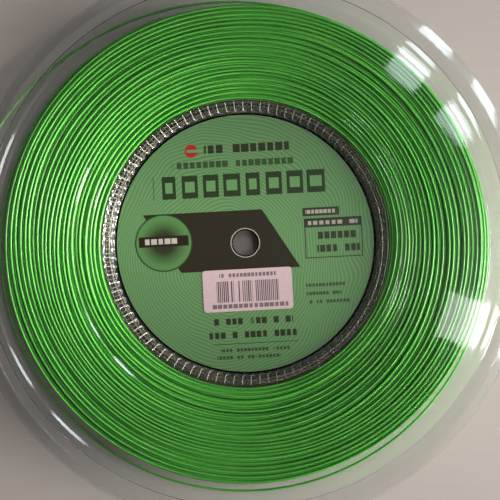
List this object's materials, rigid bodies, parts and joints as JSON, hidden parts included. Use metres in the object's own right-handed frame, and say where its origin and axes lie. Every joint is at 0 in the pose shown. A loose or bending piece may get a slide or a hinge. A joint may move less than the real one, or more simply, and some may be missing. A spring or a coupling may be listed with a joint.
{
  "type": "string reel",
  "caption": "Flat clear two-part spool wound with round racket string, with a printed disc in its fluted hub cup, a centre spindle hole and a free string end at the rim.",
  "frame": {"origin": "on the surface that the reel lies on, under the middle of its hub", "axes": "+Z along the spindle hole, out of the labelled front; +Y towards the top of the label; +X to the right of the label"},
  "size_m": [0.2907, 0.286, 0.0168],
  "materials": {
    "clear_sheet": "gloss",
    "string_green": "satin",
    "label_print": "satin",
    "sticker_paper": "matte"
  },
  "bodies": {
    "reel": {"front_shell": "clear_sheet", "rear_shell": "clear_sheet", "hub_label": "label_print", "code_sticker": "sticker_paper", "wound_string": "string_green"},
    "string_end": {"loose_turn": "string_green", "string_tail": "string_green"}
  },
  "joints": [
    {"name": "string_draw", "type": "hinge", "parent": "reel", "child": "string_end", "pos_m": [0, 0, 0.0084], "axis": [0, 0, 1], "continuous": true}
  ]
}
